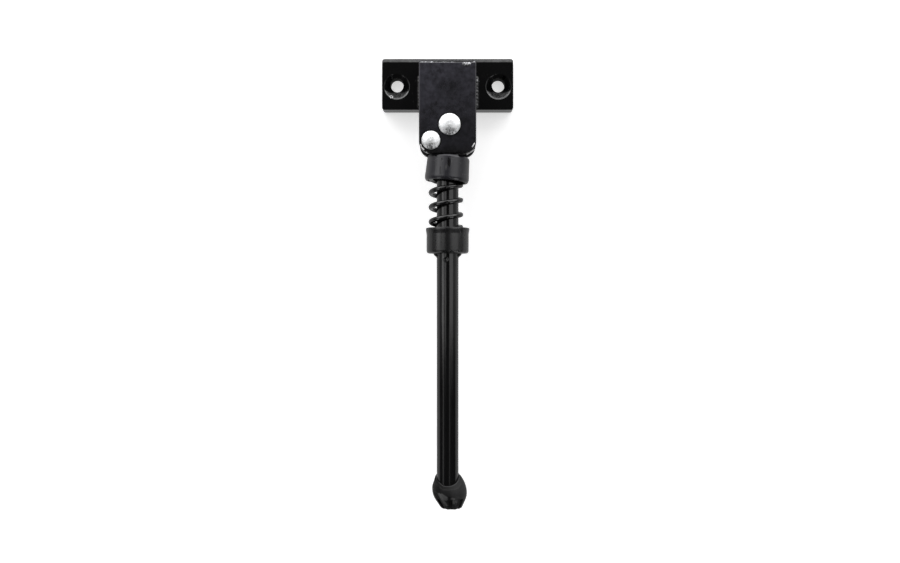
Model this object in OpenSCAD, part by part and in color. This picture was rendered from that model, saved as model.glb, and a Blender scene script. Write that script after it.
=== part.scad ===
// Side stand for a scooter. A plate bolts flat under the deck's edge, and two sheet cheeks
// welded to it carry a round leg on a rivet. The leg swings sideways from hanging to folded.
// A sprung cup on the leg bears against the lower edges of the cheeks and holds it there.
// The origin is midway between the bolt holes, on the plate's back face. +Z is up, the leg
// hangs down, and the rivet heads and countersinks face -Y.

/* [Mounting plate] */
// Width of the plate, along the line of the bolt holes
plate_w = 73.8; // [70:0.1:90]
// Height of the plate
plate_h = 29; // [26:0.1:34]
// Thickness of the plate
plate_t = 8; // [6:0.5:12]
// Radius of the plate's four corners
plate_corner_r = 1.4; // [0.5:0.1:4]
// Radius of the plate's top edge, where the shears rolled it over
plate_roll_r = 1.6; // [0.5:0.1:3]
// Distance from the plate's ends to the centres of the bolt holes
hole_inset = 8.3; // [7.8:0.1:9]
// Diameter of the bolt holes
bolt_d = 7.2; // [5:0.1:8.4]
// Diameter of the countersinks at the plate's face
sink_d = 14.4; // [11:0.1:15.6]
// How far the countersinks sit below the centres of the bolt holes
sink_drop = 1.5; // [0:0.1:2]

/* [Bracket] */
// Width of the two cheeks
cheek_w = 31; // [29:0.5:34]
// Thickness of the bracket's sheet
cheek_t = 3; // [2:0.1:4]
// Height of the bracket's top above the bolt holes
bracket_rise = 9; // [4:0.5:12]
// Height of the cheeks below the pivot
cheek_below = 15.7; // [13:0.1:18]
// Radius of the cheeks' lower corners
cheek_corner_r = 6.6; // [3:0.1:8]
// Inner radius of the bend at the top of the rear cheek
bend_r = 1; // [0.5:0.1:2]
// How far the front cheek's top edge lies below the bracket's top, for the weld
seam_step = 1.6; // [0.8:0.1:2.4]

/* [Welds] */
// Leg length of the welds at the sides of the rear cheek
side_weld = 2.2; // [1.2:0.1:3]
// Leg length of the weld along the top of the front cheek
seam_weld_leg = 1.9; // [1:0.1:2.4]
// Distance from one weld ripple to the next
ripple = 1.8; // [1.2:0.1:2.4]

/* [Rivets] */
// Depth of the pivot below the bolt holes
pivot_drop = 26.2; // [24:0.1:32]
// Distance of the pivot from the leg's centre line, towards the folding side
pivot_x = 1.1; // [0:0.1:1.5]
// Diameter of the pivot rivet's shank
pivot_d = 7; // [5:0.1:8]
// Diameter of the pivot rivet's heads
pivot_head_d = 12; // [10:0.1:14]
// Depth of the stop rivet below the pivot
stop_below = 8.6; // [7:0.1:9.4]
// Diameter of the stop rivet's shank
stop_d = 5.8; // [4:0.1:6.4]
// Diameter of the stop rivet's heads
stop_head_d = 10.3; // [8:0.1:11]
// Height of the rivets' domed heads
head_h = 2.4; // [1.4:0.1:3]

/* [Leg] */
// Diameter of the leg's round bar
rod_d = 12; // [10:0.1:13]
// Distance from the pivot to the foot's sole
leg_len = 209.5; // [170:0.5:260]
// Outer diameter of the eye that turns on the pivot rivet
eye_d = 15; // [13.6:0.1:16]
// Distance from the pivot to the lower cup's seat on the leg
seat_below = 69.4; // [60:0.1:80]

/* [Spring and cups] */
// Outer diameter of the cups
cup_d = 23.2; // [22:0.1:24]
// Height of the cups
cup_h = 14; // [13:0.1:18]
// Thickness of the cups' walls
cup_wall = 1.1; // [0.8:0.1:1.2]
// Thickness of the cups' closed ends
cup_floor = 1.5; // [1:0.1:2.5]
// How far the rolled lip stands out from a cup's wall
cup_lip = 0.4; // [0.2:0.1:0.9]
// Lean of the upper cup on the leg, in degrees
cup_lean = 4.8; // [0:0.1:5]
// Outer diameter of the spring
spring_d = 19; // [17:0.1:19.3]
// Diameter of the spring's wire
wire_d = 2.7; // [2:0.1:2.8]
// Rise of the spring from one open turn to the next
pitch = 8.05; // [5:0.05:9]

/* [Foot] */
// Largest diameter of the rubber foot
foot_d = 19; // [17.6:0.1:24]
// Length of the rubber foot along its own axis
foot_len = 19.6; // [19:0.1:28]
// Lean of the foot away from the leg's line, over a level sole, in degrees
foot_lean = 6.2; // [0:0.1:8]
// Slope of the foot's mouth, lowest at the front, in degrees
mouth_slope = 26; // [0:1:32]
// Width of the tread grooves round the sole
tread_w = 2.3; // [0.8:0.1:2.8]

/* [Hidden] */

$fn = 72;
// One overrun for every cut
over = 1;

// Clearances: beside the moving leg, round the rivets, at the stop, and round the leg's bar
swing_gap = 0.3;
rivet_gap = 0.05;
stop_gap = 0.1;
bar_gap = 0.1;
grip_gap = 0.05;

// Distance between the centres of the bolt holes
bolt_spacing = plate_w - 2 * hole_inset;

// Planes across the depth, from the plate's face to the front cheek
face_y = -plate_t;
inner_y = face_y - cheek_t;
leg_y = inner_y - swing_gap - rod_d / 2;
front_inner_y = leg_y - rod_d / 2 - swing_gap;
front_y = front_inner_y - cheek_t;

// Heights
pivot_z = -pivot_drop;
cheek_bottom_z = pivot_z - cheek_below;
seam_z = bracket_rise - seam_step;
stop_z = pivot_z - stop_below;
stop_x = -(rod_d + stop_d) / 2 - stop_gap;
seat_z = pivot_z - seat_below;

// Welds: how far the drops differ in size, and how their sizes follow each other
uneven_share = 0.06;
uneven_turn = 137;

// Leg: the ears are pinched out of the bar under the lower cup, with one punch mark
ear_reach = 1.7;
ear_h = 2.4;
ear_edge = 0.7;
ear_w = 4;
mark_d = 3.2;
mark_depth = 0.4;
mark_x = -1;
mark_below = 3.4;
bar_end_chamfer = 1;

// Cups: the upper one leans about its middle, so its bore is that much wider than the bar
cup_corner_r = 1.6;
lip_h = 1.6;
lip_taper = 0.6;
bar_r = rod_d / 2;
cup_r = cup_d / 2;
upper_bore_d = rod_d + 2 * (bar_gap + cup_h / 2 * tan(cup_lean));
corner_x = cheek_w / 2 - cheek_corner_r;
corner_z = cheek_below - cheek_corner_r;
// The cheeks' corner on the folding side passes over the cup at this reach from the pivot
track_r = norm([corner_x - pivot_x, corner_z]) + cheek_corner_r + swing_gap;
track_w = cheek_t + 2 * swing_gap;
cup_top_z = cheek_bottom_z - swing_gap;
track_depth = track_r - (pivot_z - cup_top_z);
upper_end = track_depth + cup_floor;

// Spring: closed turn at the bottom, plain open end at the top, pushed a little to the left
spring_r = (spring_d - wire_d) / 2;
turn_steps = 24;
wire_sides = 10;
close_end = 0.75;
close_blend = 0.5;
small_turn = 0.01;
cross_rise = 0.15;
spring_x = -0.6;
wire_bottom_z = seat_z + cup_floor + wire_d / 2;
// The leaning cup's closed end is lowest on the right, by this much at the spring's outside
lean_drop = spring_d / 2 * tan(cup_lean);
wire_top_z = cup_top_z - upper_end - wire_d / 2 - swing_gap / 2 - lean_drop;
// Height at which the wire crosses the right side, half out of the lower cup's mouth
right_cross_z = seat_z + cup_h + cross_rise;

// Foot
sole_z = pivot_z - leg_len;
collar_z = sole_z + foot_len;
foot_r = foot_d / 2;
waist_share = 0.505;
waist_z = -waist_share * foot_len;
upper_bulge_share = 1.54;
lower_bulge_share = 1.01;
upper_bulge_r = upper_bulge_share * foot_r;
lower_bulge_r = lower_bulge_share * foot_r;
taper_angle = 29;
collar_wall = 0.7;
mouth_share = 0.11;
grip_share = 0.56;
arc_steps = 8;
treads = 8;
tread_turn = -91;
tread_depth = 1.1;
tread_len = 7.4;
sole_edge = 0.7;

// Points along an arc about a centre, from one angle to another
function arc(centre, r, from, to, steps) =
    [for (i = [0:steps]) let (a = from + (to - from) * i / steps) centre + r * [cos(a), sin(a)]];

// Height that the wire gains in a number of turns, closed at first and then open
function open_turns(u) =
    u < close_end ? 0
    : u < close_end + close_blend ? pow(u - close_end, 2) / (2 * close_blend)
    : u - close_end - close_blend / 2;
function wire_rise(u) = wire_d * u + (pitch - wire_d) * open_turns(u);

// Draws a flat shape given in X and Z as a plate of thickness t, running back from y
module upright(y, t) {
    translate([0, y, 0])
        rotate([90, 0, 0])
            linear_extrude(t)
                children();
}

// A cylinder along Y between two planes
module cross_pin(x, z, d, y_back, y_front) {
    translate([x, y_back, z])
        rotate([90, 0, 0])
            cylinder(d = d, h = y_back - y_front);
}

module rounded_plate(w, h, r) {
    for (x = [-1, 1], z = [-1, 1])
        translate([x * (w / 2 - r), z * (h / 2 - r)])
            circle(r);
    square([w, h - 2 * r], center = true);
    square([w - 2 * r, h], center = true);
}

module mounting_plate() {
    color("#0d0d0f")
    difference() {
        intersection() {
            upright(0, plate_t)
                rounded_plate(plate_w, plate_h, plate_corner_r);
            plate_section();
        }
        for (x = [-1, 1] * bolt_spacing / 2) {
            cross_pin(x, 0, bolt_d, over, face_y - over);
            countersink(x);
        }
    }
}

// Section of the plate, with its top front edge rolled over, drawn out along X
module plate_section() {
    translate([-plate_w, 0, 0])
        rotate([90, 0, 90])
            linear_extrude(2 * plate_w) {
                translate([face_y, -plate_h / 2])
                    square([plate_t, plate_h - plate_roll_r]);
                translate([face_y + plate_roll_r, -plate_h / 2])
                    square([plate_t - plate_roll_r, plate_h]);
                translate([face_y + plate_roll_r, plate_h / 2 - plate_roll_r])
                    circle(plate_roll_r);
            }
}

// A right-angled cone, sunk from the plate's face
module countersink(x) {
    translate([x, face_y - over, -sink_drop])
        rotate([-90, 0, 0])
            cylinder(r1 = sink_d / 2 + over, r2 = bolt_d / 4, h = sink_d / 2 + over - bolt_d / 4);
}

// Outline of a cheek up to a given height, with round lower corners
module cheek_outline(top_z) {
    translate([-cheek_w / 2, cheek_bottom_z + cheek_corner_r])
        square([cheek_w, top_z - cheek_bottom_z - cheek_corner_r]);
    translate([-corner_x, cheek_bottom_z])
        square([2 * corner_x, cheek_corner_r]);
    for (x = [-1, 1])
        translate([x * corner_x, cheek_bottom_z + cheek_corner_r])
            circle(cheek_corner_r);
}

module rivet_holes(y_back, y_front) {
    cross_pin(pivot_x, pivot_z, pivot_d + 2 * rivet_gap, y_back, y_front);
    cross_pin(stop_x, stop_z, stop_d + 2 * rivet_gap, y_back, y_front);
}

// Rear cheek and the web that closes the bracket's top: one sheet, bent forward
module rear_cheek() {
    bend_outer_r = bend_r + cheek_t;
    bend_z = bracket_rise - bend_outer_r;
    color("#2b2b30")
    difference() {
        union() {
            upright(face_y, cheek_t)
                cheek_outline(bend_z);
            translate([-cheek_w / 2, face_y - bend_outer_r, bend_z])
                rotate([90, 0, 90])
                    linear_extrude(cheek_w)
                        intersection() {
                            difference() {
                                circle(bend_outer_r);
                                circle(bend_r);
                            }
                            square(bend_outer_r);
                        }
            translate([-cheek_w / 2, front_inner_y, bracket_rise - cheek_t])
                cube([cheek_w, face_y - bend_outer_r - front_inner_y, cheek_t]);
        }
        rivet_holes(face_y + over, inner_y - over);
    }
}

module front_cheek() {
    color("#2b2b30")
    difference() {
        upright(front_inner_y, cheek_t)
            cheek_outline(seam_z);
        rivet_holes(front_inner_y + over, front_y - over);
    }
}

// A run of weld along X or Z: overlapping drops of slightly uneven size
module weld_run(length, leg, along) {
    count = max(2, ceil(length / ripple));
    step = length / count;
    for (i = [0:count])
        translate(i * step * along)
            sphere(leg * (1 + uneven_share * (sin(uneven_turn * i) - 1)), $fn = 32);
}

// Fillet weld in the corner between the plate's face and one side of the rear cheek
module edge_weld(side) {
    run = plate_h / 2 + bracket_rise - bend_r - cheek_t - 2 * side_weld;
    intersection() {
        translate([side * cheek_w / 2, face_y, side_weld - plate_h / 2])
            weld_run(run, side_weld, [0, 0, 1]);
        translate([side > 0 ? cheek_w / 2 : -cheek_w, face_y - cheek_t, -plate_h])
            cube([cheek_w / 2, cheek_t, 2 * plate_h]);
    }
}

module left_weld() {
    color("#17171a")
    edge_weld(-1);
}

module right_weld() {
    color("#17171a")
    edge_weld(1);
}

// Weld along the front cheek's top edge, against the end of the web
module seam_weld() {
    run = cheek_w - 2 * seam_weld_leg;
    color("#17171a")
    intersection() {
        translate([-run / 2, front_inner_y, seam_z])
            weld_run(run, seam_weld_leg, [1, 0, 0]);
        translate([-cheek_w / 2, front_y, seam_z])
            cube([cheek_w, cheek_t, 2 * seam_weld_leg]);
    }
}

// A low domed head that stands up from z = 0
module rivet_head(d) {
    rim = head_h / 4;
    rise = head_h - rim;
    dome_r = (pow(d / 2, 2) + pow(rise, 2)) / (2 * rise);
    cylinder(d = d, h = rim);
    intersection() {
        translate([0, 0, head_h - dome_r])
            sphere(dome_r);
        translate([0, 0, rim / 2])
            cylinder(d = d, h = head_h);
    }
}

// A rivet through both cheeks, with a head on each side
module rivet(x, z, shank_d, head_d) {
    color("#d9dadc") {
        cross_pin(x, z, shank_d, face_y, front_y);
        translate([x, front_y, z])
            rotate([90, 0, 0])
                rivet_head(head_d);
        translate([x, face_y, z])
            rotate([-90, 0, 0])
                rivet_head(head_d);
    }
}

module pivot_rivet() {
    rivet(pivot_x, pivot_z, pivot_d, pivot_head_d);
}

module stop_rivet() {
    rivet(stop_x, stop_z, stop_d, stop_head_d);
}

// Round bar with an eye at its top, two pinched ears and a punch mark under the lower cup
module leg_rod() {
    bar_end_z = collar_z - grip_share * foot_len;
    color("#1b1b1e")
    difference() {
        union() {
            translate([0, leg_y, bar_end_z + bar_end_chamfer])
                cylinder(d = rod_d, h = pivot_z - bar_end_z - bar_end_chamfer);
            translate([0, leg_y, bar_end_z])
                cylinder(r1 = bar_r - bar_end_chamfer, r2 = bar_r, h = bar_end_chamfer);
            cross_pin(pivot_x, pivot_z, eye_d, leg_y + bar_r, leg_y - bar_r);
            pinched_ears();
        }
        cross_pin(pivot_x, pivot_z, pivot_d + 2 * rivet_gap, leg_y + rod_d, leg_y - rod_d);
        translate([mark_x, leg_y - bar_r - mark_d / 2 + mark_depth, seat_z - mark_below])
            sphere(d = mark_d);
    }
}

module pinched_ears() {
    ear_x = bar_r + ear_reach;
    translate([0, leg_y + ear_w / 2, seat_z])
        rotate([90, 0, 0])
            linear_extrude(ear_w)
                polygon([
                    [-ear_x, 0], [-ear_x, -ear_edge], [-bar_r / 2, -ear_h],
                    [bar_r / 2, -ear_h], [ear_x, -ear_edge], [ear_x, 0]
                ]);
}

// A pressed cup that stands on z = 0 with its mouth up
module cup(end, bore_d) {
    difference() {
        union() {
            translate([0, 0, cup_corner_r])
                cylinder(d = cup_d, h = cup_h - cup_corner_r);
            cylinder(r = cup_r - cup_corner_r, h = cup_corner_r);
            rotate_extrude()
                translate([cup_r - cup_corner_r, cup_corner_r])
                    circle(cup_corner_r, $fn = 48);
            translate([0, 0, cup_h - lip_h])
                cylinder(r = cup_r + cup_lip, h = lip_h);
            translate([0, 0, cup_h - lip_h - lip_taper])
                cylinder(r1 = cup_r, r2 = cup_r + cup_lip, h = lip_taper);
        }
        translate([0, 0, end])
            cylinder(d = cup_d - 2 * cup_wall, h = cup_h);
        translate([0, 0, -over])
            cylinder(d = bore_d, h = cup_h);
    }
}

// The upper cup slides on the leg. Two tracks in its closed end follow the cheeks' edges.
module upper_cup() {
    color("#55565b")
    difference() {
        translate([0, leg_y, cup_top_z - cup_h / 2])
            rotate([180, cup_lean, 0])
                translate([0, 0, -cup_h / 2])
                    cup(upper_end, upper_bore_d);
        for (side = [-1, 1])
            upright(leg_y + side * (bar_r + swing_gap + cheek_t / 2) + track_w / 2, track_w)
                cheek_track();
    }
}

// Room for a cheek: its level edge at rest, and the path of its corner in mid swing
module cheek_track() {
    translate([pivot_x, pivot_z])
        circle(track_r, $fn = 144);
    translate([-cup_d, cup_top_z])
        square([2 * cup_d, cup_h]);
}

module lower_cup() {
    color("#3a3b40")
    translate([0, leg_y, seat_z])
        cup(cup_floor, rod_d + 2 * bar_gap);
}

// Right-handed spring, swept as rings of points about its axis
module coil_spring() {
    span = wire_top_z - wire_bottom_z;
    open_from = close_end + close_blend / 2;
    turns = (span + (pitch - wire_d) * open_from) / pitch;
    right_turn = (right_cross_z - wire_bottom_z + (pitch - wire_d) * open_from) / pitch;
    rings = ceil(turns * turn_steps);
    ring_points = [for (i = [0:rings], j = [0:wire_sides - 1])
        let (
            u = turns * i / rings,
            a = 360 * (u - right_turn),
            b = 360 * j / wire_sides,
            step_rise = wire_rise(u + small_turn) - wire_rise(u),
            climb = atan(step_rise / (small_turn * 2 * PI * spring_r)),
            out = [cos(a), sin(a), 0],
            up = [sin(a) * sin(climb), -cos(a) * sin(climb), cos(climb)]
        )
        spring_r * out + [0, 0, wire_rise(u)] + wire_d / 2 * (cos(b) * out + sin(b) * up)
    ];
    sides = [for (i = [0:rings - 1], j = [0:wire_sides - 1])
        let (
            k = (j + 1) % wire_sides,
            low = i * wire_sides,
            high = low + wire_sides
        )
        [low + j, high + j, high + k, low + k]
    ];
    first = [for (j = [0:wire_sides - 1]) j];
    last = [for (j = [wire_sides - 1:-1:0]) rings * wire_sides + j];
    color("#101012")
    translate([spring_x, leg_y, wire_bottom_z])
        polyhedron(ring_points, concat(sides, [first], [last]), convexity = 10);
}

// Half section of the foot, with its collar's top at the origin
module foot_section() {
    lower_centre = [foot_r - lower_bulge_r, waist_z];
    upper_centre = [foot_r - upper_bulge_r, waist_z];
    collar_r = bar_r + collar_wall;
    collar_angle = acos((collar_r - upper_centre.x) / upper_bulge_r);
    flank_top = lower_centre + lower_bulge_r * [cos(taper_angle), -sin(taper_angle)];
    sole_r = flank_top.x - (flank_top.y + foot_len) * tan(taper_angle);
    polygon(concat(
        [[0, -foot_len], [sole_r - sole_edge, -foot_len]],
        [[sole_r + sole_edge * tan(taper_angle), sole_edge - foot_len]],
        arc(lower_centre, lower_bulge_r, -taper_angle, 0, arc_steps),
        arc(upper_centre, upper_bulge_r, collar_angle / arc_steps, collar_angle, arc_steps),
        [[collar_r, 0], [0, 0]]
    ));
}

// Grooves that run up the flank from the sole's edge
module foot_treads() {
    flank_z = waist_z - lower_bulge_r * sin(taper_angle);
    flank_x = foot_r - lower_bulge_r * (1 - cos(taper_angle));
    sole_r = flank_x - (flank_z + foot_len) * tan(taper_angle);
    for (i = [0:treads - 1])
        rotate(tread_turn + 360 * i / treads)
            translate([sole_r, 0, -foot_len])
                rotate([0, taper_angle, 0])
                    translate([-tread_depth, -tread_w / 2, -over])
                        cube([tread_depth + foot_r, tread_w, tread_len + over]);
}

// Moulds its children over to one side, so that each level section stays a circle
module leant(angle) {
    multmatrix([[1, 0, -tan(angle), 0], [0, 1, 0, 0], [0, 0, 1, 0]])
        children();
}

// Moulded rubber foot with a sloping mouth, pushed on the leg's end
module rubber_foot() {
    bore_end_z = collar_z - grip_share * foot_len - grip_gap;
    color("#1a1a1b")
    difference() {
        translate([0, leg_y, collar_z])
            leant(foot_lean)
                difference() {
                    rotate_extrude()
                        foot_section();
                    foot_treads();
                }
        translate([0, leg_y, bore_end_z])
            cylinder(d = rod_d + 2 * grip_gap, h = foot_len);
        translate([0, leg_y, collar_z - mouth_share * foot_len])
            rotate([mouth_slope, 0, 0])
                translate([-foot_d, -foot_d, 0])
                    cube([2 * foot_d, 2 * foot_d, foot_len]);
    }
}

mounting_plate();
rear_cheek();
front_cheek();
left_weld();
right_weld();
seam_weld();
pivot_rivet();
stop_rivet();
leg_rod();
upper_cup();
coil_spring();
lower_cup();
rubber_foot();
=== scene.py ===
"""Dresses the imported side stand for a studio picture.

The stand's own frame holds: the origin lies midway between the bolt holes on the plate's back
face, +Z is up, the leg hangs down and the front faces -Y. Lengths are in metres, apart from
those that a docstring or a comment gives in mm.
"""

import functools
import math

import bmesh
import bpy
from bpy.props import FloatProperty, FloatVectorProperty, IntProperty, PointerProperty
from bpy.types import Operator, Panel, PropertyGroup
from mathutils import Matrix, Vector, noise


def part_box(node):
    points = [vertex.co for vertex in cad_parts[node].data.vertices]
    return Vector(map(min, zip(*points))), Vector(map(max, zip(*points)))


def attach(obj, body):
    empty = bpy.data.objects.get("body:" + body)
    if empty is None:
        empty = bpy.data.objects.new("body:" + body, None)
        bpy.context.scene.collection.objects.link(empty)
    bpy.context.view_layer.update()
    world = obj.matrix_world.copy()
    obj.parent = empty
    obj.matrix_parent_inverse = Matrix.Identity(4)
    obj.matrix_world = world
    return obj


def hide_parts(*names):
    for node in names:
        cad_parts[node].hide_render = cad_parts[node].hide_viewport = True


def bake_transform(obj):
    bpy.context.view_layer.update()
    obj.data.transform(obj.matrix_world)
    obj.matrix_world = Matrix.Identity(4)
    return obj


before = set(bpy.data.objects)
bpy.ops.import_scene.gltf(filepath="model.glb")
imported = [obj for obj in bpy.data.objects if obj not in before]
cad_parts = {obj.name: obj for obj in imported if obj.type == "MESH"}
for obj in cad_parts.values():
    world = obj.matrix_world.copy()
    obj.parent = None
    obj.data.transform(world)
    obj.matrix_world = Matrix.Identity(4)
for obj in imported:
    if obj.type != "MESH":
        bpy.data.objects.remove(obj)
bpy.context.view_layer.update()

bl_info = {
    "name": "Side Stand",
    "version": (1, 0, 0),
    "blender": (4, 5, 0),
    "location": "View3D > Sidebar > Stand",
    "description": "Makes the pieces, finishes and studio of a scooter's side stand",
    "category": "Object",
}


def middle(box):
    """The middle of a box."""
    return (box[0] + box[1]) / 2


def wide(box):
    """How far a box reaches along X."""
    return box[1].x - box[0].x


MM = 0.001
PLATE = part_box("mounting_plate")
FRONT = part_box("front_cheek")
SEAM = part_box("seam_weld")
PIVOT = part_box("pivot_rivet")
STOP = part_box("stop_rivet")
LOWER_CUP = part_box("lower_cup")
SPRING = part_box("coil_spring")
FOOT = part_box("rubber_foot")

BACK_Y = PLATE[1].y
FACE_Y = PLATE[0].y
FRONT_Y = FRONT[0].y
LEG_Y = middle(LOWER_CUP).y
SPRING_X = middle(SPRING).x
CUP_TOP_Z = FRONT[0].z - 0.3 * MM
SEAT_Z = LOWER_CUP[0].z
PIVOT_AT = middle(PIVOT)
STOP_AT = middle(STOP)
SHARP = math.radians(32)
PAINT_IOR = 1.5
# Pale grey of painted highlights: the ring round the plate's blister and the lines on the
# bracket's corner edges
PAINTED_HIGHLIGHT = (0.80, 0.80, 0.81)


# Settings


def length(name, description, default, low, high):
    """A length setting, with its default and limits in millimetres."""
    return FloatProperty(
        name=name, description=description, default=default * MM, min=low * MM,
        max=high * MM, precision=5, subtype="DISTANCE", unit="LENGTH",
    )


def brightness(name, description, default):
    """A setting for how bright a light or a surface is."""
    return FloatProperty(name=name, description=description, default=default, min=0, max=20)


def colour(name, description, default):
    """A linear colour setting."""
    return FloatVectorProperty(
        name=name, description=description, default=default,
        size=3, min=0.0, max=1.0, subtype="COLOR",
    )


class StandSizes(PropertyGroup):
    """Sizes of the details that the finished pieces add to the plain solids."""

    edge: length("Painted edge", "Radius that paint gives to the sheets' edges", 0.6, 0.05, 1)
    roll: length("Rolled edge", "Height of the plate's rolled top edge", 2.5, 0.5, 3)
    plate_corner: length("Plate corners", "Radius of the plate's corners", 1.4, 0.5, 4)
    bolt_inset: length("Bolt inset", "Distance from the plate's ends to its holes", 8.3, 7, 10)
    bolt_hole: length("Bolt holes", "Diameter of the bolt holes", 7.2, 5, 9)
    sink: length("Countersinks", "Diameter of the countersinks at the face", 14.2, 11, 16)
    sink_drop: length("Countersink drop", "How far the countersinks sit low", 1.5, 0, 2)
    corner: length("Cheek corners", "Radius of the cheeks' lower corners", 6.6, 3, 8)
    bar: length("Leg bar", "Diameter of the leg's round bar", 12, 10, 14)
    eye: length("Eye", "Diameter of the leg's eye", 15, 13, 16)
    rivet_hole: length("Eye's bore", "Diameter of the bore in the leg's eye", 7.1, 5, 9)
    ear: length("Ears", "How far the pinched ears stand out from the bar", 1.7, 0, 3)
    ear_height: length("Ear height", "Height of the pinched ears", 2.4, 1, 4)
    mark: length("Punch mark", "Diameter of the punch mark under the lower cup", 2.2, 0.5, 4)
    mark_drop: length("Mark's place", "Depth of the mark below the lower cup", 3.4, 3, 8)
    head: length("Rivet heads", "Height of the rivets' domed heads", 2.4, 1, 3)
    pivot_shank: length("Pivot shank", "Diameter of the pivot rivet's shank", 7, 5, 8)
    stop_shank: length("Stop shank", "Diameter of the stop rivet's shank", 5.8, 4, 7)
    cup_wall: length("Cup wall", "Thickness of the lower cup's wall", 1.1, 0.5, 2)
    cup_lip: length("Cup lip", "How far the lip stands out from the wall", 0.4, 0, 1)
    cup_floor: length("Cup floor", "Thickness of the lower cup's closed end", 1.5, 0.5, 3)
    wire: length("Spring wire", "Diameter of the spring's wire", 2.7, 1, 3)
    pitch: length("Spring pitch", "Rise of the spring over one open turn", 8.05, 3, 10)
    crossing: length("Spring crossing", "Where the wire passes the cup's mouth", -0.65, -2, 7)
    side_bead: length("Side beads", "Radius of the welds at the bracket's sides", 2, 0.5, 3)
    bead: length("Weld bead", "Radius of the weld along the cheek's top", 1.8, 0.5, 3)
    ripple: length("Weld ripple", "Distance from one ripple of a weld to the next", 1.8, 0.5, 4)
    lean: FloatProperty(
        name="Cup lean", description="Lean of the upper cup on the leg, in degrees",
        default=4.8, min=0, max=8,
    )
    sides: IntProperty(
        name="Round sides", description="Faces round the bar, rivets and cups",
        default=128, min=24, max=256,
    )


class StandColours(PropertyGroup):
    """Base colours of the finishes, in linear light."""

    plate: colour("Plate", "Gloss black paint of the plate", (0.0013, 0.0013, 0.0014))
    bracket: colour("Bracket", "Dark grey paint of the bracket", (0.0250, 0.0243, 0.0315))
    weld: colour("Welds", "Paint over the welds", (0.0060, 0.0060, 0.0068))
    leg: colour("Leg", "Gloss black paint of the leg", (0.0008, 0.0008, 0.0009))
    cup: colour("Cups", "Satin dark grey paint of the upper cup", (0.0072, 0.0070, 0.0096))
    seat: colour("Lower cup", "Satin black paint of the lower cup", (0.0032, 0.0032, 0.0035))
    spring: colour("Spring", "Gloss black paint of the spring", (0.0010, 0.0010, 0.0011))
    foot: colour("Foot", "Black rubber of the foot", (0.0120, 0.0120, 0.0122))
    zinc: colour("Rivets", "Bright zinc of the rivets", (0.87, 0.88, 0.89))
    dust: colour("Dust", "Pale dust that settles in the rubber's grain", (0.10, 0.10, 0.10))


class StudioSettings(PropertyGroup):
    """The table that the stand lies on, the lights and the camera."""

    table_gap: length("Table gap", "Distance from the plate's back to the table", 0.6, 0, 50)
    table_glow: brightness("Table glow", "Light of the table as the camera sees it", 0.595)
    table_bounce: brightness("Table bounce", "Light of the table as the stand sees it", 0.39)
    room: brightness("Room light", "Light of the room between the lights", 0.06)
    left_light: brightness("Left light", "Light of the large panel on the left", 2.2)
    right_light: brightness("Right light", "Light of the large panel on the right", 1.5)
    fill_light: brightness("Fill light", "Light of the panel left of the camera", 1.25)
    top_light: brightness("Top light", "Light of the panel above the camera", 3.2)
    low_light: brightness("Low lights", "Light of the small panels below the camera", 4.0)
    camera_x: length("Camera offset", "How far right of the middle it stands", 1.31, -100, 100)
    camera_z: length("Camera height", "Height above the bolt holes", -110.97, -300, 100)
    distance: length("Camera distance", "Distance from the plate's back", 468.7, 100, 3000)
    lens: FloatProperty(
        name="Lens", description="Focal length of the camera",
        default=32.8, min=10, max=200, subtype="DISTANCE_CAMERA", unit="CAMERA",
    )


# Meshes


def placed(name, data):
    """A new object in the scene for a mesh, a light or a camera."""
    obj = bpy.data.objects.new(name, data)
    bpy.context.scene.collection.objects.link(obj)
    return obj


def shaped(name, shell):
    """A new object from a shell of faces."""
    mesh = bpy.data.meshes.new(name)
    shell.to_mesh(mesh)
    shell.free()
    return placed(name, mesh)


def mesh_object(name, points, faces):
    """A new smooth object at the origin from points and faces."""
    mesh = bpy.data.meshes.new(name)
    mesh.from_pydata([tuple(p) for p in points], [], faces)
    mesh.validate()
    mesh.update()
    obj = placed(name, mesh)
    outward(obj)
    mesh.shade_smooth()
    return obj


def skin(rings, count, loop=False, closed=True):
    """Four-sided faces between rings of points. A loop joins the last ring to the first."""
    return [
        (
            i * count + j,
            i * count + (j + 1) % count,
            (i + 1) % rings * count + (j + 1) % count,
            (i + 1) % rings * count + j,
        )
        for i in range(rings if loop else rings - 1)
        for j in range(count if closed else count - 1)
    ]


def caps(rings, count):
    """Flat faces over the first and the last ring."""
    return [tuple(range(count)), tuple((rings - 1) * count + j for j in range(count))]


def outward(obj, fill_up_to=0):
    """Turns every face to the outside, once holes of up to a number of sides are filled."""
    shell = bmesh.new()
    shell.from_mesh(obj.data)
    if fill_up_to:
        bmesh.ops.holes_fill(shell, edges=shell.edges, sides=fill_up_to)
    bmesh.ops.recalc_face_normals(shell, faces=shell.faces)
    shell.to_mesh(obj.data)
    shell.free()


def settled(obj):
    """Makes an object's modifiers part of its mesh."""
    scene_now = bpy.context.evaluated_depsgraph_get()
    scene_now.update()
    mesh = bpy.data.meshes.new_from_object(obj.evaluated_get(scene_now))
    obj.modifiers.clear()
    obj.data = mesh
    return obj


def drop(obj):
    """Removes a helper object."""
    bpy.data.objects.remove(obj, do_unlink=True)


def joined(name, objects):
    """One object from several, without melting them together."""
    shell = bmesh.new()
    for obj in objects:
        shell.from_mesh(obj.data)
        drop(obj)
    return shaped(name, shell)


def copy_of(node, name, merge=0.01 * MM, flatten=math.radians(0.4)):
    """A CAD node's shape as a new object, with its flat faces made whole."""
    shell = bmesh.new()
    shell.from_mesh(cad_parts[node].data)
    bmesh.ops.remove_doubles(shell, verts=shell.verts, dist=merge)
    bmesh.ops.dissolve_limit(shell, angle_limit=flatten, verts=shell.verts, edges=shell.edges)
    return shaped(name, shell)


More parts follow.
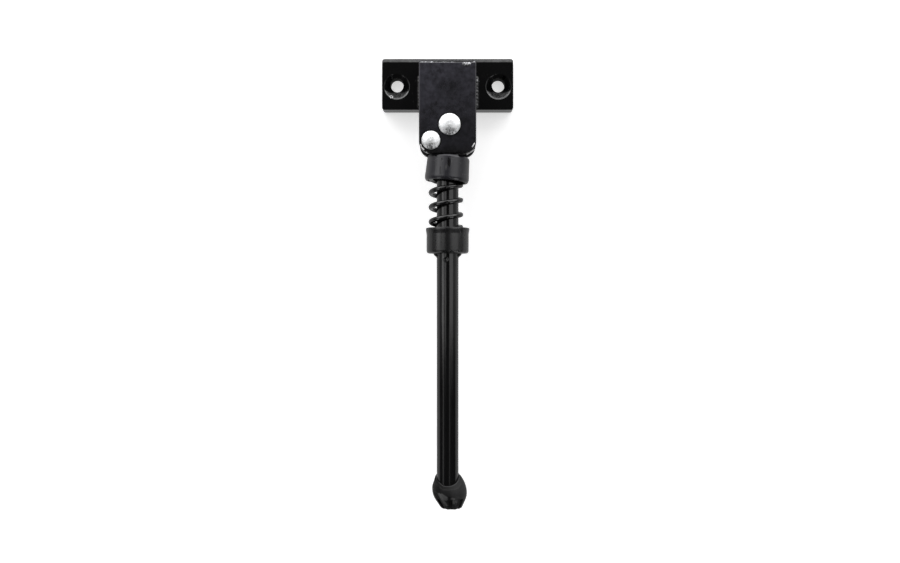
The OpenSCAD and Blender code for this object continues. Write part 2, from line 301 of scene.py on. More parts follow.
def rolled_edges(obj, radius, segments=3):
    """Rounds an object's sharp edges, as a coat of paint does."""
    bevel = obj.modifiers.new("Edges", "BEVEL")
    bevel.width = radius
    bevel.segments = segments
    bevel.limit_method = "ANGLE"
    bevel.angle_limit = SHARP
    settled(obj)
    obj.data.shade_smooth()
    return evened(obj, keep_sharp=False)


def cut(obj, cutter):
    """Cuts one solid from another and removes the cutter."""
    hole = obj.modifiers.new("Hole", "BOOLEAN")
    hole.operation = "DIFFERENCE"
    hole.solver = "EXACT"
    hole.object = cutter
    settled(obj)
    drop(cutter)
    return obj


def evened(obj, keep_sharp):
    """Lets the large faces lead the shading."""
    even = obj.modifiers.new("Even shading", "WEIGHTED_NORMAL")
    even.keep_sharp = keep_sharp
    even.weight = 80
    return settled(obj)


def evenly_shaded(obj):
    """Smooth shading that keeps flat faces flat and creases sharp."""
    obj.data.shade_smooth()
    obj.data.set_sharp_from_angle(angle=SHARP)
    return evened(obj, keep_sharp=True)


def sheet_outline(low, high, corner_low, corner_high, steps=9):
    """A rectangle in X and Z from two opposite corners, with rounded corners."""
    outline = []
    for turn, x_end, z_end, radius in (
        (0, high[0], high[1], corner_high),
        (1, low[0], high[1], corner_high),
        (2, low[0], low[1], corner_low),
        (3, high[0], low[1], corner_low),
    ):
        x_side = 1 if x_end == high[0] else -1
        z_side = 1 if z_end == high[1] else -1
        centre = (x_end - x_side * radius, z_end - z_side * radius)
        for k in range(steps + 1):
            a = math.tau / 4 * (turn + k / steps)
            outline.append((centre[0] + radius * math.cos(a), centre[1] + radius * math.sin(a)))
    return outline


def rounded_sheet(name, box, corner_low, corner_high, stations):
    """An upright sheet. Each station has a depth and how far its sides and top draw in."""
    low, high = box
    points = []
    for y, side, top in stations:
        ring = sheet_outline(
            (low.x + side, low.z + side),
            (high.x - side, high.z - top),
            max(corner_low - side, 0.15 * MM),
            max(corner_high - side, 0.15 * MM),
        )
        points += [(x, y, z) for x, z in ring]
    rings = len(stations)
    count = len(points) // rings
    return mesh_object(name, points, skin(rings, count) + caps(rings, count))


def kept(value):
    """A value kept between 0 and 1."""
    return min(1.0, max(0.0, value))


def quarter(radius, t):
    """How far a quarter round of a radius draws in, at a share of its depth."""
    return radius * (1 - math.sqrt(1 - (1 - kept(t)) ** 2))


def sheet_stations(back, front, edge, roll=None, steps=8):
    """Stations from a sheet's back to its front, with rounded edges or a rolled top."""
    rows = []
    for k in range(steps + 1):
        t = 1 - math.cos(math.pi / 2 * k / steps)
        rows.append((back - edge * t, quarter(edge, t), quarter(edge, t)))
    depth = 0.62 * roll if roll else edge
    for k in range(steps + 1):
        a = math.pi / 2 * (1 - k / steps)
        fall = 1.35 if roll else 1.0
        y = front + depth * (1 - math.cos(a) ** fall)
        side = quarter(edge, (y - front) / edge)
        top = roll * (1 - math.sin(a) ** fall) if roll else side
        rows.append((y, side, top))
    return rows


def melted(obj, grain, rounds, strength=0.6):
    """Melts an object's solids into one skin and rounds its edges a little."""
    skin = obj.modifiers.new("Skin", "REMESH")
    skin.mode = "VOXEL"
    skin.voxel_size = grain
    skin.adaptivity = 0.0
    ease = obj.modifiers.new("Ease", "SMOOTH")
    ease.factor = strength
    ease.iterations = rounds
    settled(obj)
    obj.data.shade_smooth()
    return obj


def turned(name, profile, sides, place, closed=True):
    """A solid of revolution about Z from a list of (radius, height) points."""
    points = []
    for i in range(sides):
        turn = math.tau * i / sides
        for r, height in profile:
            points.append(place @ Vector((r * math.cos(turn), r * math.sin(turn), height)))
    return mesh_object(name, points, skin(sides, len(profile), loop=True, closed=closed))


def capped(name, profile, sides, place):
    """A turned solid whose open ends are closed with flat faces."""
    obj = turned(name, profile, sides, place, closed=False)
    outward(obj, fill_up_to=sides)
    return obj


def filleted(corners, radii, steps=5):
    """A closed outline with each corner rounded by its own radius."""
    outline = []
    count = len(corners)
    for i, radius in enumerate(radii):
        here = Vector(corners[i])
        before = Vector(corners[i - 1]) - here
        after = Vector(corners[(i + 1) % count]) - here
        if radius <= 0:
            outline.append(tuple(here))
            continue
        half = before.angle(after) / 2
        reach = min(radius / math.tan(half), 0.49 * before.length, 0.49 * after.length)
        start = here + before.normalized() * reach
        end = here + after.normalized() * reach
        for k in range(steps + 1):
            t = k / steps
            bend = (1 - t) ** 2 * start + 2 * t * (1 - t) * here + t**2 * end
            outline.append(tuple(bend))
    return outline


def drop_of_weld(centre, radius):
    """One drop of weld metal."""
    shell = bmesh.new()
    bmesh.ops.create_icosphere(shell, subdivisions=3, radius=radius)
    bmesh.ops.translate(shell, vec=centre, verts=shell.verts)
    return shaped("drop", shell)


def uneven(spot, size, seed=0.0):
    """Smooth noise from -1 to 1 that changes over about the given size."""
    return noise.noise(Vector(spot) / size + Vector((seed, seed * 1.7, -seed)))


# Finishes


def arithmetic(operation, reflected=False):
    """An operator that adds one Math node to a finish."""
    if reflected:
        return lambda wire, other: wire.math(operation, other, wire)
    return lambda wire, other: wire.math(operation, wire, other)


class Wire:
    """A socket of a finish. Arithmetic on it adds Math nodes."""

    def __init__(self, finish, socket):
        self.finish = finish
        self.socket = socket

    def math(self, operation, *values):
        settings = {"operation": operation}
        return self.finish.node("ShaderNodeMath", settings, dict(enumerate(values)))

    __add__ = arithmetic("ADD")
    __radd__ = arithmetic("ADD", reflected=True)
    __sub__ = arithmetic("SUBTRACT")
    __rsub__ = arithmetic("SUBTRACT", reflected=True)
    __mul__ = arithmetic("MULTIPLY")
    __rmul__ = arithmetic("MULTIPLY", reflected=True)
    most = arithmetic("MAXIMUM")
    least = arithmetic("MINIMUM")


class Finish:
    """A material, or a room's light, built up node by node."""

    def __init__(self, name, kind="materials"):
        self.material = getattr(bpy.data, kind).new(name)
        self.material.use_nodes = True
        self.tree = self.material.node_tree
        self.tree.nodes.clear()

    @functools.cached_property
    def place(self):
        """The place on the piece."""
        return self.node("ShaderNodeTexCoord", output="Object")

    def node(self, kind, settings=None, sockets=None, output=0):
        """Adds a node: first its settings, then the values or links of its sockets."""
        node = self.tree.nodes.new(kind)
        for name, value in (settings or {}).items():
            if name == "stops":
                self.set_stops(node.color_ramp, value)
            else:
                setattr(node, name, value)
        for name, value in (sockets or {}).items():
            if isinstance(value, Wire):
                self.tree.links.new(value.socket, node.inputs[name])
            else:
                node.inputs[name].default_value = value
        return Wire(self, node.outputs[output]) if node.outputs else None

    @staticmethod
    def set_stops(ramp, stops):
        """Sets a ramp's stops from (position, grey) pairs."""
        while len(ramp.elements) < len(stops):
            ramp.elements.new(0.5)
        for element, (position, grey) in zip(ramp.elements, stops):
            element.position = position
            element.color = (grey, grey, grey, 1)

    def stretched(self, along):
        """The place on the piece, scaled by a vector."""
        return self.node(
            "ShaderNodeVectorMath", {"operation": "MULTIPLY"}, {0: self.place, 1: along}
        )

    def grain(self, size, detail=2.0, roughness=0.5, along=(1, 1, 1)):
        """Noise from 0 to 1 with features of about a size in mm."""
        sockets = {"Vector": self.stretched(along), "Scale": 1 / (size * MM)}
        sockets.update({"Detail": detail, "Roughness": roughness})
        return self.node("ShaderNodeTexNoise", {"noise_dimensions": "3D"}, sockets)

    def cells(self, size, along=(1, 1, 1), feature="F1"):
        """Distance to the nearest of scattered points about a size in mm apart."""
        sockets = {"Vector": self.stretched(along), "Scale": 1 / (size * MM)}
        return self.node(
            "ShaderNodeTexVoronoi", {"feature": feature}, sockets, output="Distance"
        )

    def steps(self, value, *stops):
        """A value shaped by a ramp."""
        return self.node("ShaderNodeValToRGB", {"stops": stops}, {"Fac": value})

    def blended(self, share, first, second):
        """A colour between two colours."""
        ready = [c if isinstance(c, Wire) else (*c, 1) for c in (first, second)]
        sockets = {0: share, 6: ready[0], 7: ready[1]}
        return self.node("ShaderNodeMix", {"data_type": "RGBA"}, sockets, output=2)

    def mottled(self, share, colour, level):
        """A colour that is lighter or darker by a level in patches."""
        return self.blended(share, colour, [level * c for c in colour])

    def bumps(self, *layers):
        """A normal from layers of bumps, each a height between 0 and 1 and a depth in mm."""
        sockets = {"Strength": 1.0}
        for height, depth in layers:
            sockets.update({"Height": height, "Distance": depth * MM})
            sockets["Normal"] = self.node("ShaderNodeBump", {}, sockets)
        return sockets["Normal"]

    def painted(self, colour, roughness, normal):
        """Closes the material with a coat of paint."""
        return self.surface(colour=colour, roughness=roughness, normal=normal, ior=PAINT_IOR)

    def surface(self, **values):
        """Closes the material with one Principled surface."""
        names = {"colour": "Base Color", "specular": "Specular IOR Level", "ior": "IOR"}
        sockets = {names.get(key, key.capitalize()): value for key, value in values.items()}
        shader = self.node("ShaderNodeBsdfPrincipled", {}, sockets)
        self.node("ShaderNodeOutputMaterial", {}, {"Surface": shader})
        return self.material

    def vector(self, operation, *values, output="Vector", **named):
        """A sum on vectors."""
        sockets = {i: v if isinstance(v, Wire) else tuple(v) for i, v in enumerate(values)}
        return self.node(
            "ShaderNodeVectorMath", {"operation": operation}, {**sockets, **named}, output=output
        )

    def scaled(self, colour, level):
        """A colour made lighter or darker by a level."""
        return self.vector("SCALE", colour, Scale=level)

    def ramp(self, value, low, high):
        """0 below a value, 1 above another, and smooth between them."""
        return self.node(
            "ShaderNodeMapRange",
            {"interpolation_type": "SMOOTHSTEP"},
            {"Value": value, "From Min": low, "From Max": high},
        )

    def axis(self, letter):
        """One coordinate of the place on the piece."""
        return self.node("ShaderNodeSeparateXYZ", {}, {0: self.place}, output=letter)

    def height_above(self, low, high):
        """0 below a height, 1 above another."""
        return self.ramp(self.axis("Z"), low, high)

    def across(self, left, right):
        """0 left of a place, 1 right of another."""
        return self.ramp(self.axis("X"), left, right)

    def behind(self, front, back):
        """0 in front of a place, 1 behind another."""
        return self.ramp(self.axis("Y"), front, back)

    def near(self, spot, inner, outer, squash=(1, 0, 1)):
        """1 within a distance of a place, 0 beyond another, as seen along Y by default."""
        flat = self.vector("MULTIPLY", self.vector("SUBTRACT", self.place, spot), squash)
        return 1 - self.ramp(self.vector("LENGTH", flat, output="Value"), inner, outer)

    def stroke(self, start, end, half, soft=0.35):
        """1 along a line between two (x, z) places, all in mm, as seen along Y."""
        a, b = (Vector((x, 0, z)) * MM for x, z in (start, end))
        flat = self.vector("SUBTRACT", self.stretched((1, 0, 1)), a)
        step = (b - a) / (b - a).length_squared
        share = self.vector("DOT_PRODUCT", flat, step, output="Value").most(0).least(1)
        away = self.vector("SUBTRACT", flat, self.scaled(b - a, share))
        distance = self.vector("LENGTH", away, output="Value")
        return 1 - self.ramp(distance, half * MM, (half + soft) * MM)


def plate_finish(sizes, colours):
    """Gloss black paint, thick and lumpy in the countersinks and along the rolled edge, with
    painted light: a lighter painted sheen there, painted highlights along the countersinks' lower
    rims and a painted highlight ring round a blister.
    """
    f = Finish("plate_paint")
    peel = f.grain(2.6, detail=3)
    nibs = f.steps(f.cells(3.4), (0.0, 1.0), (0.09, 0.0))
    cloud = f.grain(14, detail=4, roughness=0.6)
    lumps = f.grain(1.25, detail=3, roughness=0.6)
    clots = f.grain(2.1, detail=2)
    bolt_x = PLATE[1].x - sizes.bolt_inset
    sink_r = sizes.sink / 2
    lower = 1 - f.height_above(-0.73 * sink_r, -0.45 * sink_r)
    pool = rim_highlight = bore = 0.0
    for x in (-bolt_x, bolt_x):
        centre = (x, 0, -sizes.sink_drop)
        whole = f.near(centre, 0.90 * sink_r, 1.0 * sink_r)
        edge = whole - f.near(centre, 0.80 * sink_r, 0.90 * sink_r)
        pool = (whole * lower) + pool
        rim_highlight = (edge * lower) + rim_highlight
        bore = f.near((x, 0, 0), 0.51 * sizes.bolt_hole, 0.56 * sizes.bolt_hole) + bore
    strip = f.height_above(PLATE[1].z - sizes.roll, PLATE[1].z - 0.86 * sizes.roll)
    front = 1 - f.behind(0.44 * FACE_Y, 0.19 * FACE_Y)
    lumpy_and_lit = pool.most(0.8 * strip) * front
    blister = Vector((-bolt_x - 3.06 * MM, 0, -sizes.sink_drop - 5.54 * MM))
    ring = f.near(blister, 0.75 * MM, 1.15 * MM) - f.near(blister, 0.35 * MM, 0.70 * MM)
    ring = ring * front
    normal = f.bumps((peel, 0.035), (nibs, 0.05), (lumps * lumpy_and_lit, 0.45), (ring, 0.25))
    # Painted sheen: a lighter mottled tone over the lower countersinks and the rolled top edge,
    # where light from above falls
    painted_sheen = f.steps(clots, (0.38, 0.0), (0.60, 1.0)) * lumpy_and_lit
    tone = f.mottled(cloud, colours.plate, 2.0)
    tone = f.blended(painted_sheen, tone, (0.036, 0.036, 0.037))
    # Painted highlight along the lower rims of the countersinks
    tone = f.blended(0.7 * rim_highlight * front, tone, (0.085, 0.085, 0.087))
    # Painted highlight: a bright ring round the blister, over its raised rim
    tone = f.blended(0.84 * ring, tone, PAINTED_HIGHLIGHT)
    rough = (0.09 + 0.08 * cloud + 0.10 * lumpy_and_lit + 0.22 * strip).most(0.85 * bore)
    return f.painted(tone, rough, normal)


def bracket_finish(colours):
    """Dark grey paint, cloudy and slightly wavy, with painted light: lighter towards the top and
    painted shade along the bottom edge; also lighter on the left, darker in a patch in the
    middle, with painted shadow rings round the rivet heads and painted highlight lines on the
    lower corners' edges.
    """
    f = Finish("bracket_paint")
    cloud = f.grain(9, detail=4, roughness=0.6, along=(1.0, 1.0, 0.6))
    blotch = f.grain(2.6, detail=3, roughness=0.62)
    wave = f.grain(4.5, detail=2, along=(1.0, 1.0, 0.45))
    peel = f.grain(1.2, detail=3)
    patchy = f.steps(0.50 * cloud + 0.50 * blotch, (0.38, 0.45), (0.62, 1.30))
    # Painted light: lighter towards the top, painted shade along the bottom edge; the paint is
    # also lighter on the left and darker in a patch in the middle
    high = f.height_above(FRONT[0].z + 5.9 * MM, FRONT[1].z + 1.6 * MM)
    foot = f.height_above(FRONT[0].z - 0.3 * MM, FRONT[0].z + 5.4 * MM)
    left = 1 - f.across(-6 * MM, 8 * MM)
    dim = f.near((1 * MM, 0, -7 * MM), 1 * MM, 9 * MM)
    level = (0.40 + 0.66 * high) * (0.10 + 0.90 * foot) * (0.90 + 0.18 * left) * patchy
    tone = f.scaled(colours.bracket, level * (1 - 0.36 * dim))
    # Painted shadow: a dark ring round each rivet head
    for centre, box in ((PIVOT_AT, PIVOT), (STOP_AT, STOP)):
        head_r = wide(box) / 2
        rivet_shade_ring = f.near((centre.x, 0, centre.z), head_r + 0.2 * MM, head_r + 0.9 * MM)
        tone = f.blended(0.85 * rivet_shade_ring, tone, (0.001, 0.001, 0.001))
    broken = f.steps(f.grain(1.4, detail=2), (0.34, 0.55), (0.50, 1.0))
    front = 1 - f.behind(FRONT[1].y - 0.4 * MM, FRONT[1].y + 0.6 * MM)
    inner_y = FACE_Y - (FRONT[1].y - FRONT[0].y)
    rear = f.behind(inner_y - 2 * MM, inner_y - 1 * MM) * (
        1 - f.behind(inner_y + 0.8 * MM, inner_y + 1.6 * MM)
    )
    # Painted highlight lines on the rounded edges of the lower corners: both ends and half the
    # width in mm, and the sheet that carries them
    for start, end, half, layer in (
        ((14.5, -36.4), (13.4, -38.3), 0.10, front),
        ((-14.5, -37.1), (-14.3, -37.7), 0.06, front),
        ((-14.2, -38.4), (-12.9, -39.8), 0.14, front),
        ((-11.5, -41.2), (-11.3, -41.4), 0.14, front),
        ((15.1, -37.4), (10.8, -40.1), 0.10, rear),
    ):
        glints = f.stroke(start, end, half, soft=0.32) * layer * broken
        tone = f.blended(glints, tone, PAINTED_HIGHLIGHT)
    top = f.height_above(FRONT[1].z + 0.1 * MM, FRONT[1].z + 0.8 * MM)
    return f.painted(tone, 0.17 + 0.14 * blotch + 0.7 * top, f.bumps((wave, 0.14), (peel, 0.045)))


def weld_finish(colours):
    """Gloss paint over weld metal, with bare spots along the seam and at the upper right."""
    f = Finish("weld_paint")
    lumps = f.grain(1.1, detail=3, roughness=0.6)
    patch = f.grain(2.4, detail=2)
    spots = f.steps(f.grain(1.5, detail=3, roughness=0.6), (0.46, 0.0), (0.56, 1.0))
    crest_z = FRONT[1].z
    seam = f.height_above(crest_z - 2.2 * MM, crest_z - 1.4 * MM)
    drop = 0.40 * f.across(-15 * MM, -5 * MM) + 0.55 * f.across(3 * MM, 8 * MM)
    drop = drop - 1.2 * f.across(12 * MM, 15.3 * MM) + 0.6 * patch
    gap = f.axis("Z") + MM * drop - (crest_z + 0.8 * MM)
    line = 1 - f.ramp(gap.math("ABSOLUTE", gap), 0.12 * MM, 0.42 * MM)
    pool_at = (10.2 * MM, 0, crest_z - 0.9 * MM)
    pool = f.near(pool_at, 1.6 * MM, 3.6 * MM, squash=(1, 0, 2.3)) * seam
    corner = f.near((17.6 * MM, 0, 1.8 * MM), 0.7 * MM, 1.9 * MM) * (1 - seam)
    glints = (line * seam * (0.4 + 0.6 * spots)).most(pool * (0.35 + 0.65 * spots))
    glints = glints.most(0.5 * corner * spots)
    top = f.height_above(crest_z - 0.4 * MM, crest_z + 0.2 * MM)
    right = f.across(-6 * MM, 6 * MM)
    painted = f.scaled(colours.weld, (0.25 + 0.75 * right).most(seam) * (1 + 1.6 * patch))
    return f.surface(
        colour=f.blended(glints, painted, (0.42, 0.42, 0.44)),
        metallic=glints,
        roughness=0.16 + 0.16 * patch + 0.7 * top * (1 - glints),
        normal=f.bumps((lumps, 0.22)),
        ior=PAINT_IOR,
    )


def zinc_finish(colours):
    """Bright zinc on a rivet, dulled in patches and pitted by the forming tool, with mottled
    painted shade over the lower part of each head.
    """
    f = Finish("rivet_zinc")
    patch = f.grain(2.3, detail=4, roughness=0.62)
    pits = f.grain(0.8, detail=3, roughness=0.6)
    dull = f.steps(pits, (0.44, 0.0), (0.64, 1.0))
    # Painted shade over the lower part of each rivet head, mottled
    low = 0.0
    for centre, size in ((PIVOT_AT, 1.0), (STOP_AT, 0.88)):
        spot = (centre.x + 0.1 * MM, 0, centre.z - 3.9 * size * MM)
        mask = f.near(spot, 1.3 * size * MM, 3.0 * size * MM, squash=(0.62, 0, 1.15))
        low = mask.most(low)
    tone = f.mottled(0.5 * dull, colours.zinc, 0.72)
    tone = f.blended(low * (0.25 + 0.75 * dull), tone, [0.14 * c for c in colours.zinc])
    return f.surface(
        colour=tone,
        metallic=0.5,
        roughness=0.22 + 0.12 * patch,
        normal=f.bumps((0.6 * patch + 0.4 * pits, 0.42)),
    )


def leg_finish(colours):
    """Gloss black paint on the round bar, with fine lengthways draws under it."""
    f = Finish("leg_paint")
    draws = f.grain(1.5, detail=2, along=(1.0, 1.0, 0.035))
    wave = f.grain(5, detail=2, along=(1.0, 1.0, 0.12))
    peel = f.grain(1.6, detail=2)
    patch = f.grain(6, detail=3, along=(1.0, 1.0, 0.3))
    tone = f.mottled(patch, colours.leg, 2.5)
    normal = f.bumps((draws, 0.030), (wave, 0.055), (peel, 0.010))
    return f.painted(tone, 0.10 + 0.10 * patch, normal)


def cup_finish(name, colour, gloss, rubs=()):
    """Satin paint on a pressed cup, with drawing lines, dings, scratches and rub marks."""
    f = Finish(name)
    draws = f.grain(1.3, detail=3, along=(1.0, 1.0, 0.09))
    cloud = f.grain(5, detail=4, roughness=0.6, along=(1.0, 1.0, 0.4))
    lines = f.cells(5.0, along=(0.8, 0.8, 1.9), feature="DISTANCE_TO_EDGE")
    scratch = f.steps(lines, (0.0, 1.0), (0.022, 0.0))
    gate = f.steps(f.grain(6, detail=2), (0.55, 0.0), (0.63, 1.0))
    worn = scratch * gate
    ragged = f.steps(f.grain(1.6, detail=3), (0.38, 0.35), (0.55, 1.0))
    tone = f.mottled(cloud, colour, 2.1)
    tone = f.blended(0.35 * worn, tone, (0.16, 0.16, 0.17))
    gouge = 0.0
    for x, z, width, tall, grey in rubs:
        spot = (x * MM, 0, z * MM)
        rub = f.near(spot, 0.5 * width * MM, width * MM, squash=(1, 0, width / tall))
        rub = rub * (ragged.most(0.8) if grey < 0.005 else ragged)
        tone = f.blended(rub, tone, (grey, grey, grey))
        gouge = rub.most(gouge)
    dents = ((1 - gouge, 0.07),) if rubs else ()
    normal = f.bumps((draws, 0.034), (1 - worn, 0.030), *dents)
    top = f.height_above(CUP_TOP_Z - 1.3 * MM, CUP_TOP_Z - 0.5 * MM)
    rough = gloss + 0.14 * cloud + 0.25 * top - 0.12 * gouge
    return f.painted(tone, rough, normal)


def spring_finish(colours):
    """Gloss black paint on the spring's wire."""
    f = Finish("spring_paint")
    peel = f.grain(1.2, detail=3)
    patch = f.grain(4, detail=3)
    tone = f.mottled(patch, colours.spring, 3.0)
    return f.painted(tone, 0.12 + 0.12 * patch, f.bumps((peel, 0.035)))


def rubber_finish(colours):
    """Moulded black rubber with a fine grain and pale dust, with painted light: painted shade on
    the left, a painted highlight on the mouth's rim, painted highlights on the ridges and painted
    shade in the tread grooves.
    """
    f = Finish("foot_rubber")
    grain = f.grain(0.35, detail=3, roughness=0.7)
    soft = f.grain(3.0, detail=4, roughness=0.6)
    dust = f.steps(f.grain(1.1, detail=4, roughness=0.7), (0.56, 0.0), (0.78, 1.0))
    # Painted shade: the rubber is much darker on the left than on the right
    right = f.across(-5 * MM, 6 * MM)
    tone = f.scaled(colours.foot, (0.12 + 1.2 * right) * (0.6 + 0.8 * soft))
    tone = f.blended(0.08 * dust, tone, colours.dust)
    # Painted highlight along the rim of the foot's mouth
    rim = f.near((0, LEG_Y, 0), 6.35 * MM, 6.95 * MM, squash=(1, 1, 0))
    rim = rim * f.height_above(FOOT[0].z + 12.7 * MM, FOOT[0].z + 13.7 * MM)
    tone = f.blended(0.8 * rim, tone, (0.060, 0.060, 0.061))
    front = 1 - f.behind(LEG_Y - 2 * MM, LEG_Y)
    grooves = 0.0
    # Painted shade in the tread grooves (the dark lines) and painted highlights on the ridges
    # (the pale lines): both ends and half the width in mm, then strength and grey
    for start, end, half, share, grey in (
        ((-5.9, -219.6), (-5.6, -221.2), 0.6, 0.8, 0.0004),
        ((-6.2, -226.2), (-2.6, -232.4), 0.5, 0.9, 0.0003),
        ((1.0, -228.4), (1.2, -232.6), 0.8, 0.9, 0.0003),
        ((6.3, -229.6), (5.3, -232.2), 0.4, 0.7, 0.0005),
        ((-3.2, -226.8), (-1.0, -228.2), 0.9, 0.8, 0.075),
        ((-4.6, -226.1), (-0.6, -232.2), 0.3, 0.9, 0.080),
        ((2.4, -228.2), (3.4, -228.5), 0.3, 0.8, 0.080),
        ((3.3, -229.8), (3.4, -231.0), 0.2, 0.9, 0.090),
        ((4.5, -229.8), (4.6, -230.6), 0.1, 0.8, 0.090),
    ):
        mark = f.stroke(start, end, half, soft=0.7) * front
        tone = f.blended(share * mark, tone, (grey, grey, grey))
        if grey < 0.01:
            grooves = mark.most(grooves)
    normal = f.bumps((1 - grooves, 0.6), (soft, 0.12), (grain, 0.030))
    return f.surface(colour=tone, roughness=0.42 + 0.14 * soft, normal=normal, specular=0.17)


# Pieces


def settings():
    """The sizes and colours set in the scene."""
    scene = bpy.context.scene
    return scene.stand_sizes, scene.stand_colours


def dressed(obj, body, node, material):
    """Puts a finished piece in place of its CAD node. A piece between two bodies names none."""
    obj.data.materials.clear()
    obj.data.materials.append(material)
    if body:
        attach(obj, body)
    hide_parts(node)
    return obj


def along_y(x, y, z, quarter_turn=90):
    """Turns a solid made along +Z to face -Y from a place, or +Y by a turn of -90 degrees."""
    return Matrix.Translation((x, y, z)) @ Matrix.Rotation(math.radians(quarter_turn), 4, "X")


class STAND_OT_plate(Operator):
    """Makes the mounting plate with its countersunk holes"""

    bl_idname = "stand.plate"
    bl_label = "Mounting Plate"

    def execute(self, context):
        sizes, colours = settings()
        stations = sheet_stations(BACK_Y, FACE_Y, 0.25 * MM, roll=sizes.roll)
        corner = sizes.plate_corner
        plate = rounded_sheet("plate", PLATE, corner, corner, stations)
        bolt_x = PLATE[1].x - sizes.bolt_inset
        for x in (-bolt_x, bolt_x):
            cut(plate, self.bore(sizes, x))
            cut(plate, self.countersink(sizes, x))
        evenly_shaded(plate)
        finish = plate_finish(sizes, colours)
        dressed(plate, "bracket", "mounting_plate", finish)
        return {"FINISHED"}

    @staticmethod
    def bore(sizes, x):
        radius, over = sizes.bolt_hole / 2, 1 * MM
        ends = [(radius, -over), (radius, BACK_Y - FACE_Y + over)]
        return capped("bore", ends, sizes.sides, along_y(x, BACK_Y, 0))

    @staticmethod
    def countersink(sizes, x):
        """A right-angled cone whose rim runs out softly into the plate's face."""
        rim, core, over = sizes.sink / 2, 0.4 * MM, 1 * MM
        profile = filleted(
            [
                (core, core - rim),
                (rim, -0.02 * MM),
                (rim + 0.55 * MM, 0.05 * MM),
                (rim + 0.80 * MM, over),
                (core, over),
            ],
            [0, 0.9 * MM, 0, 0, 0],
            steps=7,
        )
        return turned("sink", profile, sizes.sides, along_y(x, FACE_Y, -sizes.sink_drop))


class STAND_OT_bracket(Operator):
    """Makes the two cheeks and the web between them"""

    bl_idname = "stand.bracket"
    bl_label = "Bracket"

    def execute(self, context):
        sizes, colours = settings()
        paint = bracket_finish(colours)
        bent = rolled_edges(copy_of("rear_cheek", "bent_cheek"), sizes.edge)
        dressed(bent, "bracket", "rear_cheek", paint)
        stations = sheet_stations(FRONT[1].y, FRONT_Y, sizes.edge)
        flat = rounded_sheet("flat_cheek", FRONT, sizes.corner, sizes.edge, stations)
        evenly_shaded(flat)
        dressed(flat, "bracket", "front_cheek", paint)
        return {"FINISHED"}


class STAND_OT_welds(Operator):
    """Makes the welds at the bracket's sides and along its top"""

    bl_idname = "stand.welds"
    bl_label = "Welds"

    left_x = FRONT[0].x + 0.05 * MM
    right_x = FRONT[1].x + 0.3 * MM

    # Drops that stand out of the seam: place and radius in mm
    blobs = (
        (7.4, -25.6, 6.8, 0.90),
        (8.8, -26.0, 6.4, 1.15),
        (10.3, -26.1, 6.2, 1.25),
        (11.8, -25.9, 6.4, 1.15),
        (13.1, -25.5, 6.9, 0.85),
        (-6.0, -25.2, 7.2, 0.75),
        (-12.6, -25.1, 7.2, 0.70),
    )

    def execute(self, context):
        sizes, colours = settings()
        paint = weld_finish(colours)
        for node, x, seed in (("left_weld", self.left_x, 3), ("right_weld", self.right_x, 5)):
            drops = self.side_bead(sizes, node, x, seed)
            obj = melted(joined(f"{node}_bead", drops), 0.16 * MM, 4)
            dressed(obj, "bracket", node, paint)
        obj = melted(joined("seam_bead", self.seam_bead(sizes)), 0.14 * MM, 4)
        dressed(obj, "bracket", "seam_weld", paint)
        return {"FINISHED"}

    @staticmethod
    def side_bead(sizes, node, x, seed):
        low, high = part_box(node)
        radius = sizes.side_bead
        reach = high.z - low.z - 2 * radius
        count = round(reach / sizes.ripple)
        drops = []
        for i in range(count + 1):
            z = low.z + radius + i * reach / count
            wobble = uneven((0, 0, z), 3.1 * MM, seed)
            centre = Vector((x, FACE_Y - 0.1 * MM, z))
            drops.append(drop_of_weld(centre, radius * (0.92 + 0.14 * wobble)))
        return drops

    def seam_bead(self, sizes):
        reach = wide(SEAM) / 2 - sizes.bead
        count = round(2 * reach / sizes.ripple)
        drops = []
        for i in range(count + 1):
            x = -reach + 2 * reach * i / count
            wobble = uneven((x, 0, 0), 3.3 * MM, seed=2)
            z = FRONT[1].z + (0.18 * wobble - 0.05) * MM
            centre = Vector((x, FRONT[1].y - 0.15 * MM, z))
            drops.append(drop_of_weld(centre, sizes.bead * (0.97 + 0.07 * wobble)))
        for x, y, z, radius in self.blobs:
            drops.append(drop_of_weld(Vector((x, y, z)) * MM, radius * MM))
        return drops


class STAND_OT_rivets(Operator):
    """Makes the pivot rivet and the stop rivet"""

    bl_idname = "stand.rivets"
    bl_label = "Rivets"

    def execute(self, context):
        sizes, colours = settings()
        zinc = zinc_finish(colours)
        for node, name, centre, box, shank in (
            ("pivot_rivet", "large_rivet", PIVOT_AT, PIVOT, sizes.pivot_shank),
            ("stop_rivet", "small_rivet", STOP_AT, STOP, sizes.stop_shank),
        ):
            obj = self.rivet(name, sizes, centre, 0.98 * wide(box) / 2, shank / 2)
            dressed(obj, "bracket", node, zinc)
        return {"FINISHED"}

    @staticmethod
    def rivet(name, sizes, centre, head_r, shank_r, steps=14):
        rim = sizes.head / 4
        rise = sizes.head - rim
        dome_r = (head_r**2 + rise**2) / (2 * rise)
        edge = math.asin(head_r / dome_r)
        head = []
        for k in range(steps):
            a = edge * k / steps
            head.append((dome_r * math.sin(a), sizes.head - dome_r * (1 - math.cos(a))))
        head += [
            (0.985 * head_r, rim + 0.10 * MM),
            (head_r, 0.9 * rim),
            (head_r, 0.35 * rim),
            (0.975 * head_r, 0.0),
            (shank_r, 0.0),
            (shank_r, (FRONT_Y - FACE_Y) / 2),
        ]
        x, z = centre.x, centre.z
        front = capped(f"{name}_front", head, sizes.sides, along_y(x, FRONT_Y, z))
        rear = capped(f"{name}_rear", head, sizes.sides, along_y(x, FACE_Y, z, quarter_turn=-90))
        obj = joined(name, [front, rear])
        obj.data.shade_smooth()
        return obj


